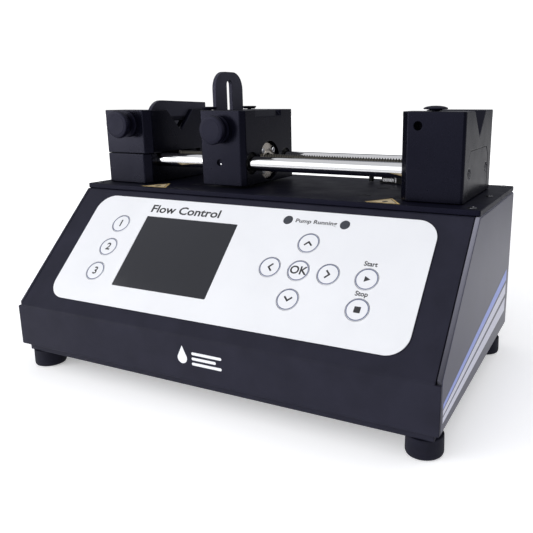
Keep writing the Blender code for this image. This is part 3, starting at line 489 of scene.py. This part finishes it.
def make_keys():
    """The keys' caps, each with a printed ring and its mark."""
    cap = [(0, -2.0), (KEY_RADIUS - 0.05, -2.0), (KEY_RADIUS, -1.9), (KEY_RADIUS, -0.16),
           (KEY_RADIUS - 0.12, -0.02), (KEY_RADIUS - 0.5, 0.0), (0, 0.0)]
    for key in KEYS:
        disc = turned(key + "_cap", cap, moved(PANEL, *on_panel(key)), panel_film, key,
                      56)
        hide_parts(key)
        rings = [circle(0, 0, KEY_RADIUS - inset, 56) for inset in (0.25, 0.82)]
        flat(key + "_ring", rings, moved(PANEL, *on_panel(key)), SKIN, ink_blue, key)
    chevron = [(-2.2, -1.8), (0, 0.35), (2.2, -1.8), (2.95, -1.0), (0, 1.85), (-2.95, -1.0)]
    for key, turn in (("key_up", 0), ("key_left", 90), ("key_down", 180), ("key_right", 270)):
        flat(key + "_mark", [turned_outline(shifted(chevron, 0, -0.3), turn)],
             moved(PANEL, *on_panel(key)), SKIN, ink_black, key)
    for key, words in (("key_one", "1"), ("key_two", "2"), ("key_three", "3"), ("key_ok", "OK")):
        lettering(key + "_mark", words, moved(PANEL, *on_panel(key)), 5.4, ink_black, key, bold=0.16)
    flat("key_start_mark", [[(-1.4, -1.9), (2.2, 0), (-1.4, 1.9)]],
         moved(PANEL, *on_panel("key_start")), SKIN, ink_black, "key_start")
    flat("key_stop_mark", [rounded_box((-1.95, -1.95), (1.95, 1.95), 0.2, 2)],
         moved(PANEL, *on_panel("key_stop")), SKIN, ink_black, "key_stop")


def make_labels():
    """The panel's words and the two indicators' lenses."""
    x = on_panel("display_window")[0]
    top = PANEL_HEIGHT / 2
    lettering("label_title", "Flow Control", moved(PANEL, x - 8.0, top - 8.8), 6.1, ink_black,
              "case", 58.0, bold=0.19)
    left, row = on_panel("indicator_left")
    right = on_panel("indicator_right")[0]
    lettering("label_running", "Pump Running", moved(PANEL, (left + right) / 2, row), 2.8,
              ink_black, "case", 28.5, bold=0.08)
    for key, words in (("key_start", "Start"), ("key_stop", "Stop")):
        x, y = on_panel(key)
        lettering("label_" + words.lower(), words, moved(PANEL, x - 0.3, y + 9.9), 3.0, ink_black,
                  "case", bold=0.10)
    dome = [(0, -1.0), (3.0, -1.0), (3.0, 0.0), (2.8, 0.1), (1.6, 0.18), (0, 0.2)]
    for side in ("left", "right"):
        lamp = turned(f"lamp_{side}", dome, moved(PANEL, *on_panel(f"indicator_{side}")),
                      lens_dark, "case", 40)
        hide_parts(f"indicator_{side}")


# ---- case --------------------------------------------------------------------------------------

def make_emblem():
    """A plain drop and three bars, printed on the upright front face."""
    face = facing((0, cover_low.y, cover_low.z + 16.5 * MM), (1, 0, 0), (0, 0, 1))
    bowl = [math.radians(35 - 10 * k) for k in range(26)]
    drop = [(0, 6.4)] + [(3.5 * math.cos(a), -1.6 + 3.5 * math.sin(a)) for a in bowl]
    flat("emblem_drop", [shifted(drop, -9.5, 0)], face, SKIN, ink_white, "case")
    for k, (level, end) in enumerate(((2.4, 19.0), (-0.9, 15.0), (-4.2, 19.0))):
        flat(f"emblem_bar_{k}", [rounded_box((-2.5, level - 0.9), (end, level + 0.9), 0.85, 5)], face,
             SKIN, ink_white, "case")


def make_seam_shades():
    """Dark strips inside the case, behind the seams between the cover and the side panels: painted
    shade.
    """
    side = (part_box("side_panel_right")[0].x - PANEL.translation.x) / MM - 0.3
    reach = PANEL_HEIGHT / 2 + 3
    for name, sign in (("right", 1), ("left", -1)):
        inner, outer = sorted((sign * (side - 7), sign * side))
        # Each strip is painted shade that keeps its seam dark.
        flat(f"seam_shade_{name}", [rounded_box((inner, -reach), (outer, reach), 0.5, 3)], PANEL, 0.8,
             seal_black, "case", lift=-6.0)


STRIPE_FRONT, STRIPE_BACK = 5.5, 177.0  # the stripes' ends, from the case's front


def band(front_low, front_high, back_low, back_high):
    """A straight stripe on the side that widens and climbs from front to back."""
    return [(STRIPE_FRONT, front_low), (STRIPE_BACK, back_low), (STRIPE_BACK, back_high),
            (STRIPE_FRONT, front_high)]


def make_stripes():
    """Three stripes on the right side, mirrored on the left."""
    stripes = (
        ("upper", band(13.9, 16.7, 36.8, 44.9), stripe_blue),
        ("middle", band(10.2, 13.0, 26.0, 34.1), stripe_white),
        ("lower", band(5.8, 9.1, 13.0, 22.7), stripe_white),
    )
    for name, outline, finish in stripes:
        flat(f"stripe_right_{name}", [outline], RIGHT_SIDE, SKIN, finish, "case")
        mirrored = [(-x, y) for x, y in reversed(outline)]
        flat(f"stripe_left_{name}", [mirrored], LEFT_SIDE, SKIN, finish, "case")


def countersunk(name, matrix, radius, body, finish):
    """A flat screw head with a hexagonal socket, and a dark ring round it, painted shade for its
    countersink.
    """
    head, socket = circle(0, 0, radius, 40), hexagon(radius * 0.42, 15)
    # The dark ring is painted shade standing in for the countersink's recess.
    flat(name + "_rim", [circle(0, 0, radius + 0.75, 40), head], matrix, 0.04, seal_black, body)
    flat(name, [head, socket], matrix, 0.14, finish, body, soft=0.05)
    flat(name + "_socket", [socket], matrix, 0.03, seal_black, body)


def cap_screw(name, matrix, radius, height, body, finish):
    """A cylinder-head screw with a rounded rim and a round recess."""
    profile = [(0, 0), (radius, 0), (radius, height - 0.5), (radius - 0.15, height - 0.15),
               (radius - 0.5, height), (radius * 0.52, height), (radius * 0.48, height - 0.8),
               (0, height - 0.8)]
    turned(name, profile, matrix, finish, body, 36)


PLATE_SCREWS = ((67, 102), (67, 138.5), (90.5, 101), (-67, 102), (-67, 146))
EDGE_SCREW_ROWS = (80.0, 129.0, 180.0)
EDGE_SCREW_X = 143.5
STICKER_X = 89.0


def make_plate_details():
    """The top plate's screws and stickers, placed from the case's front and middle."""
    base = moved(UPWARD, 0, cover_low.y / MM)
    for k, (x, y) in enumerate(PLATE_SCREWS):
        countersunk(f"plate_screw_{k}", moved(base, x, y), 4.4, "case",
                    plate_anodised)
    button = [(0, 0), (2.5, 0), (2.45, 0.2), (2.1, 0.5), (1.5, 0.72), (1.1, 0.76), (1.0, 0.3), (0, 0.3)]
    for k, y in enumerate(EDGE_SCREW_ROWS):
        for side, x in (("left", -EDGE_SCREW_X), ("right", EDGE_SCREW_X)):
            spot = moved(base, x, y)
            # A dark disc under each button screw: painted shade for the recess round it.
            flat(f"edge_recess_shade_{side}_{k}", [circle(0, 0, 3.3, 40)], spot, 0.04, seal_black, "case")
            turned(f"edge_screw_{side}_{k}", button, spot, screw_dark, "case", 32)
    for side, x in (("left", -STICKER_X), ("right", STICKER_X)):
        rings = [[(x - 11.5 + 2.05 * g, 76.0 + 1.15 * g), (x + 11.5 - 2.05 * g, 76.0 + 1.15 * g),
                  (x, 95.0 - 2.1 * g)] for g in (0.0, 1.0, 1.55)]
        for part, loops, finish in (
            ("edge", rings[:2], sticker_amber), ("rim", rings[1:], sticker_rim),
            ("field", rings[2:], sticker_cream),
        ):
            flat(f"sticker_{side}_{part}", loops, base, SKIN, finish, "case")
        oval = [(x + 1.7 * math.cos(a * math.pi / 12), 81.6 + 2.6 * math.sin(a * math.pi / 12))
                for a in range(24)]
        flat(f"sticker_{side}_mark", [oval], base, SKIN, sticker_rim, "case",
             lift=SKIN)


def make_feet():
    """The rubber feet, each with its screw up inside the hollow of the sole."""
    profile = [
        (0, 5.2), (4.4, 5.2), (4.9, 0.3), (5.2, 0), (9.4, 0), (10.1, 0.35), (10.45, 1.2),
        (10.5, 2.2), (10.3, 11.0), (10.0, 11.4), (9.4, 11.5), (0, 11.5),
    ]
    screw = [(0, 2.6), (3.2, 2.6), (3.2, 3.4), (2.8, 3.9), (1.7, 4.2), (1.7, 3.2), (0, 3.2)]
    for place in ("front_left", "front_right", "rear_left", "rear_right"):
        spot = middle("foot_" + place)
        ground = Vector((spot.x, spot.y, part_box("foot_" + place)[0].z))
        sole = facing(ground, (1, 0, 0), (0, 1, 0))
        foot = turned("rubber_foot_" + place, profile, sole, foot_rubber, "case")
        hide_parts("foot_" + place)
        under = facing(ground, (1, 0, 0), (0, -1, 0))
        turned("foot_screw_" + place, [(r, h - 6.9) for r, h in screw], under, screw_zinc, "case",
               32)


def make_rear():
    """The rear panel's corner screws and the bright tip of the inlet's pin."""
    low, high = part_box("rear_panel")
    back = facing((0, high.y, low.z), (-1, 0, 0), (0, 0, 1))
    width, height = (high.x - low.x) / MM, (high.z - low.z) / MM
    for k, (x, z) in enumerate(((-1, 0), (1, 0), (-1, 1), (1, 1))):
        spot = moved(back, x * (width / 2 - 7), 7 + z * (height - 14))
        turned(f"rear_screw_{k}", [(0, 0), (2.7, 0), (2.7, 0.5), (2.0, 1.1), (0.9, 1.35), (0, 1.1)],
               spot, screw_black, "case", 32)
    inlet = middle("power_inlet")
    ring = facing((inlet.x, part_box("power_inlet")[1].y, inlet.z), (-1, 0, 0), (0, 0, 1))
    turned("inlet_pin_tip", [(0, -9.6), (1.02, -9.6), (1.02, -1.8), (0.5, -1.2), (0, -1.1)], ring,
           screw_zinc, "case", 24)


def make_tray_screws():
    """The four screws that close the base tray from below."""
    low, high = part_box("base_tray")
    under = facing((0, (low.y + high.y) / 2, low.z), (1, 0, 0), (0, -1, 0))
    for k, (x, y) in enumerate(((-110, 60), (110, 60), (-110, -60), (110, -60))):
        turned(f"tray_screw_{k}", [(0, 0), (2.6, 0), (2.6, 0.5), (1.9, 1.2), (0.8, 1.4), (0, 1.2)],
               moved(under, x, y), screw_black, "case", 32)


# ---- drive and blocks --------------------------------------------------------------------------

def along_x(node):
    """A frame at a node's lower end, its z along the world's x."""
    low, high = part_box(node)
    return facing((low.x, (low.y + high.y) / 2, (low.z + high.z) / 2), (0, 1, 0), (0, 0, 1))


def length_of(node):
    """How long a node is along the world's x, in millimetres."""
    low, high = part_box(node)
    return (high.x - low.x) / MM


def make_rods():
    """The guide rods, their ends chamfered."""
    for end in ("front", "rear"):
        length = length_of(f"guide_rod_{end}")
        profile = [(0, 0), (ROD_RADIUS - 0.5, 0), (ROD_RADIUS, 0.5), (ROD_RADIUS, length - 0.5),
                   (ROD_RADIUS - 0.5, length), (0, length)]
        rod = turned(f"polished_rod_{end}", profile, along_x(f"guide_rod_{end}"), rod_chrome,
                     "case")
        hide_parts(f"guide_rod_{end}")


THREAD_START, THREAD_STOP = 12.6, 220.8  # along the lead screw, from its left end
THREAD_ROOT, THREAD_DEPTH = 4.2, 0.78
THREAD_PITCH, THREAD_STARTS = 2.0, 4
THREAD_WAVE = (1.0, 1.0, 0.5, 0.0, 0.0, 0.5)  # the height along one pitch, crest to root
JOURNAL_RADIUS = 3.0


def make_lead_screw():
    """The threaded rod: four starts of a 2 mm pitch, so one turn moves the nut by 8 mm."""
    steps, per_pitch = 24, len(THREAD_WAVE)
    shape = bmesh.new()
    rings = []
    count = int((THREAD_STOP - THREAD_START) / THREAD_PITCH * per_pitch)
    length = length_of("lead_screw")
    left_end = [(0.0, JOURNAL_RADIUS - 0.4), (0.4, JOURNAL_RADIUS),
                (THREAD_START - 0.1, JOURNAL_RADIUS)]
    right_end = [(THREAD_STOP + 0.1, JOURNAL_RADIUS), (length - 0.4, JOURNAL_RADIUS),
                 (length, JOURNAL_RADIUS - 0.4)]

    def ring(x, radii):
        """One ring of corners round the screw's axis."""
        return [shape.verts.new((r * MM * math.cos(2 * math.pi * k / steps),
                                 r * MM * math.sin(2 * math.pi * k / steps), x * MM))
                for k, r in enumerate(radii)]

    for x, radius in left_end:
        rings.append(ring(x, [radius] * steps))
    for i in range(count + 1):
        radii = []
        for k in range(steps):
            phase = (i - k * THREAD_STARTS * per_pitch // steps) % per_pitch
            radii.append(THREAD_ROOT + THREAD_DEPTH * THREAD_WAVE[phase])
        rings.append(ring(THREAD_START + i * THREAD_PITCH / per_pitch, radii))
    for x, radius in right_end:
        rings.append(ring(x, [radius] * steps))
    for one, two in zip(rings, rings[1:]):
        for k in range(steps):
            n = (k + 1) % steps
            shape.faces.new((one[k], one[n], two[n], two[k]))
    shape.faces.new(rings[0][::-1])
    shape.faces.new(rings[-1])
    bmesh.ops.recalc_face_normals(shape, faces=shape.faces)
    mesh = bpy.data.meshes.new("threaded_screw")
    shape.to_mesh(mesh)
    shape.free()
    rod = show("threaded_screw", mesh, along_x("lead_screw"), thread_steel, "drive_screw",
               60)
    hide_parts("lead_screw")


def make_knobs():
    """The clamp knobs: a finely ribbed grip in front, a neck, a collar and a shank behind."""
    profile = [
        (0, 0), (7.2, 0), (7.4, -0.15), (8.9, -0.15), (9.5, -0.4, 0.0), (9.98, -1.1, 0.25),
        (9.98, -3.4, 0.25), (9.5, -4.1, 0.0), (6.2, -4.3), (6.0, -4.6),
    ]
    for name in ("barrel_clamp_knob", "plunger_clamp_knob"):
        low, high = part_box(name)
        reach = 11.8 if name.startswith("barrel") else 9.5
        front = facing(((low.x + high.x) / 2, low.y, (low.z + high.z) / 2), (1, 0, 0), (0, 0, 1))
        tail = [(6.0, -reach + 2.2), (9.3, -reach + 2.0), (9.6, -reach + 1.6),
                (9.6, -reach + 0.3), (2.6, -reach + 0.3), (2.6, -reach - 12.0),
                (0, -reach - 12.0)]
        knob = turned(name + "_grip", profile + tail, front, knob_plastic, name,
                      180, 45)
        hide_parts(name)


def make_thumbscrews():
    """The low round thumbscrews on top of the carriage and the right block."""
    small = [(0, 2.4), (4.9, 2.4), (5.4, 2.28), (5.6, 2.08), (5.45, 1.75), (4.4, 0.3), (1.5, 0.3),
             (1.5, -6), (0, -6)]
    heads = {
        "carriage_thumbscrew_front": small,
        "carriage_thumbscrew_rear": small,
        "right_thumbscrew": [(0, 3.3), (2.5, 3.2), (5.0, 2.85), (6.6, 2.35), (7.3, 1.85),
                             (7.4, 1.6), (7.1, 1.2), (4.2, 1.0), (3.6, 0.3), (2.2, 0.3),
                             (2.2, -8), (0, -8)],
    }
    for name, profile in heads.items():
        low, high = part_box(name)
        drop = profile[0][1]
        spot = facing(((low.x + high.x) / 2, (low.y + high.y) / 2, high.z - drop * MM),
                      (1, 0, 0), (0, 1, 0))
        head = turned(name + "_head", profile, spot, knob_plastic, name)
        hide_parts(name)


def make_nut():
    """The drive nut's flange with its four screws, and the sleeves round the guide rods."""
    low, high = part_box("drive_nut")
    front = facing((high.x, (low.y + high.y) / 2, (low.z + high.z) / 2), (0, 1, 0), (0, 0, 1))
    length = length_of("drive_nut")
    profile = [
        (5.25, -length), (5.25, -0.4), (5.7, 0), (7.3, 0), (7.6, -0.3), (7.6, -1.2), (12.9, -1.2),
        (13.2, -1.5), (13.2, -4.3), (7.6, -4.3), (7.6, -length), (5.25, -length),
    ]
    nut = turned("flanged_nut", profile, front, nut_nickel, "carriage")
    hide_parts("drive_nut")
    for k in range(4):
        angle = math.radians(45 + 90 * k)
        spot = moved(front, 10.4 * math.cos(angle), 10.4 * math.sin(angle), -1.2)
        cap_screw(f"nut_screw_{k}", spot, 2.2, 1.9, "carriage", screw_zinc)
    for end in ("front", "rear"):
        length = length_of(f"bushing_{end}")
        sleeve = [
            (5.25, 0), (7.2, 0), (7.5, 0.4), (7.5, length - 0.4), (7.2, length), (6.9, length),
            (6.7, length - 0.5), (5.8, length - 0.5), (5.6, length), (5.25, length), (5.25, 0),
        ]
        bushing = turned(f"sleeve_{end}", sleeve, along_x(f"bushing_{end}"), seal_black,
                         "carriage")
        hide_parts(f"bushing_{end}")


def make_side_cover():
    """The right block's side cover, with two screws sunk in counterbored holes."""
    low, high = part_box("right_block_cover")
    face = facing((high.x, (low.y + high.y) / 2, low.z), (0, 1, 0), (0, 0, 1))
    half, top = (high.y - low.y) / 2 / MM, (high.z - low.z) / MM
    outline = [(-half, 0), (half, 0), (half, top - 6), (half - 6, top), (6 - half, top),
               (-half, top - 6)]
    holes = []
    for end in ("front", "rear"):
        spot = face.inverted() @ middle(f"guide_rod_{end}")
        holes.append((spot.x / MM, spot.y / MM - 0.6))
    cover = flat("side_cover", [outline] + [circle(x, y, 3.5, 48) for x, y in holes], face, 2.5,
                 black_anodised, "case", lift=-2.5, soft=0.3)
    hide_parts("right_block_cover")
    for k, (x, y) in enumerate(holes):
        cup = [(3.5, -2.3), (3.5, -0.2), (3.3, -0.2), (3.25, -2.1), (0, -2.1), (0, -2.3)]
        turned(f"cover_cup_{k}", cup, moved(face, x, y), screw_zinc, "case", 40)
        cap_screw(f"cover_screw_{k}", moved(face, x, y, -2.2), 2.6, 1.5, "case",
                  screw_black)


def make_lock_screw():
    """The set screw seen in the hole low on the carriage's front, and a small bright cone as a painted
    glint.
    """
    knob_low, knob_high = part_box("plunger_clamp_knob")
    block_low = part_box("carriage_block")[0]
    rod = middle("guide_rod_front")
    spot = facing(((knob_low.x + knob_high.x) / 2, block_low.y, rod.z + 0.6 * MM), (1, 0, 0),
                  (0, 0, 1))
    cap_screw("lock_screw", moved(spot, 0, 0, -3.6), 2.05, 1.2, "carriage",
              screw_black)
    # A small bright zinc cone in the hole: a painted glint on the set screw.
    turned("lock_screw_glint", [(0, 0), (0.75, 0), (0.6, 0.3), (0, 0.45)], moved(spot, 0.2, -1.2, -1.6),
           screw_zinc, "carriage", 24)


def make_switch_trim():
    """The end switch's plate, a terminal strip and its two screws."""
    low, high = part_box("limit_switch")
    face = facing((0, low.y, low.z), (1, 0, 0), (0, 0, 1))
    flat("switch_plate", [rounded_box((57.8, 1.2), (66.6, 3.6), 0.4, 4)], face, 0.12, screw_zinc,
         "case", soft=0.04)
    flat("switch_strip", [rounded_box((67.4, 0.6), (68.5, 4.8), 0.2, 2)], face, 0.16, screw_zinc,
         "case", soft=0.04)
    for k, x in enumerate((61.5, 74.5)):
        spot = facing((x * MM, (low.y + high.y) / 2, high.z), (1, 0, 0), (0, 1, 0))
        turned(f"switch_screw_{k}", [(0, 0), (1.5, 0), (1.5, 0.25), (1.0, 0.5), (0, 0.55)], spot,
               screw_zinc, "case", 24)


# ---- scene -------------------------------------------------------------------------------------

FLOOR_GLOW = 0.34
FLOOR_HALF = 6.0


def floor_finish():
    """A pale floor, a little bright of itself; far out it darkens, but looks white to the camera."""
    made = Finish("floor_finish", (0.94, 0.94, 0.95), 0.6, Emission_Color=(1.0, 1.0, 1.0, 1.0))
    made.mottle(3, (0.93, 0.93, 0.94), (0.95, 0.95, 0.96))
    tree = made.tree
    distance = tree.nodes.new("ShaderNodeVectorMath")
    distance.operation = "LENGTH"
    tree.links.new(made.place, distance.inputs[0])
    far = made.span(distance.outputs["Value"], 0.0, 0.9, 0.35, 1.1)
    path = tree.nodes.new("ShaderNodeLightPath")
    glow = tree.nodes.new("ShaderNodeMath")
    glow.operation = "MULTIPLY_ADD"
    tree.links.new(far, glow.inputs[0])
    tree.links.new(path.outputs["Is Camera Ray"], glow.inputs[1])
    glow.inputs[2].default_value = FLOOR_GLOW
    tree.links.new(glow.outputs["Value"], made.surface.inputs["Emission Strength"])
    fade = tree.nodes.new("ShaderNodeMix")
    fade.data_type = "RGBA"
    tint = made.surface.inputs["Base Color"].links[0].from_socket
    tree.links.new(far, fade.inputs["Factor"])
    tree.links.new(tint, fade.inputs["A"])
    fade.inputs["B"].default_value = (0.10, 0.10, 0.11, 1.0)
    tree.links.new(fade.outputs["Result"], made.surface.inputs["Base Color"])
    return made.material


def make_stage():
    """A square of floor under the feet."""
    corners = ((-1, -1), (1, -1), (1, 1), (-1, 1))
    shape = bmesh.new()
    shape.faces.new([shape.verts.new((x * FLOOR_HALF, y * FLOOR_HALF, 0)) for x, y in corners])
    mesh = bpy.data.meshes.new("floor")
    shape.to_mesh(mesh)
    shape.free()
    mesh.materials.append(floor_finish())
    floor = bpy.data.objects.new("floor", mesh)
    floor.location.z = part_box("foot_front_left")[0].z - 0.0002
    bpy.context.scene.collection.objects.link(floor)


def area_light(name, position, target, size, power):
    """A white rectangular light at a place, aimed at another."""
    data = bpy.data.lights.new(name, "AREA")
    data.shape = "RECTANGLE"
    data.size, data.size_y = size
    data.energy = power
    lamp = bpy.data.objects.new(name, data)
    lamp.location = position
    aim = Vector(target) - Vector(position)
    lamp.rotation_euler = aim.to_track_quat("-Z", "Y").to_euler()
    bpy.context.scene.collection.objects.link(lamp)


def make_lights():
    """A white background, dimmer for everything but the camera, and four soft lights."""
    world = bpy.data.worlds.new("studio")
    bpy.context.scene.world = world
    world.use_nodes = True
    tree = world.node_tree
    sky = tree.nodes["Background"]
    sky.inputs["Color"].default_value = (0.90, 0.92, 1.0, 1.0)
    sky.inputs["Strength"].default_value = 0.26
    white = tree.nodes.new("ShaderNodeBackground")
    white.inputs["Color"].default_value = (1.0, 1.0, 1.0, 1.0)
    white.inputs["Strength"].default_value = 1.05
    path = tree.nodes.new("ShaderNodeLightPath")
    mix = tree.nodes.new("ShaderNodeMixShader")
    tree.links.new(path.outputs["Is Camera Ray"], mix.inputs["Fac"])
    tree.links.new(sky.outputs["Background"], mix.inputs[1])
    tree.links.new(white.outputs["Background"], mix.inputs[2])
    tree.links.new(mix.outputs["Shader"], tree.nodes["World Output"].inputs["Surface"])
    area_light("top_softbox", (-0.3, 0.0, 2.4), (-0.3, 0.0, 0.0), (5.0, 4.0), 42)
    area_light("front_card", (-0.8, -2.0, 1.10), (0.0, 0.0, 0.20), (3.6, 2.4), 41)
    area_light("right_softbox", (1.6, 0.9, 0.8), (0.1, 0.1, 0.05), (1.2, 1.2), 8)
    area_light("left_softbox", (-1.5, -1.3, 0.5), (0.0, 0.0, 0.1), (1.0, 1.0), 12)


CAMERA_PLACE = (0.22076, -0.37479, 0.18345)
CAMERA_TURNS = (25.76, 13.66, -0.26)  # to the left, down, and rolled, in degrees


def make_camera():
    """A camera to the right of the middle and a little above the blocks."""
    data = bpy.data.cameras.new("camera")
    camera = bpy.data.objects.new("camera", data)
    yaw, pitch, roll = (math.radians(turn) for turn in CAMERA_TURNS)
    across = Vector((math.cos(yaw), math.sin(yaw), 0))
    ahead = Vector((-math.sin(yaw) * math.cos(pitch), math.cos(yaw) * math.cos(pitch),
                    -math.sin(pitch)))
    upward = across.cross(ahead)
    right = across * math.cos(roll) + upward * math.sin(roll)
    top = upward * math.cos(roll) - across * math.sin(roll)
    matrix = Matrix((right, top, -ahead)).transposed().to_4x4()
    matrix.translation = Vector(CAMERA_PLACE)
    camera.matrix_world = matrix
    data.sensor_width = 36.0
    data.lens = 42.21
    data.shift_x = -0.1053
    data.shift_y = -0.0299
    data.clip_start = 0.01
    data.clip_end = 50
    bpy.context.scene.collection.objects.link(camera)
    bpy.context.scene.camera = camera


bpy.context.scene.view_settings.view_transform = "Standard"
make_camera()
make_lights()
make_stage()
make_overlay()
make_keys()
make_labels()
make_stripes()
make_emblem()
make_seam_shades()
make_plate_details()
make_feet()
make_rear()
make_tray_screws()
make_rods()
make_lead_screw()
make_knobs()
make_thumbscrews()
make_nut()
make_side_cover()
make_lock_screw()
make_switch_trim()
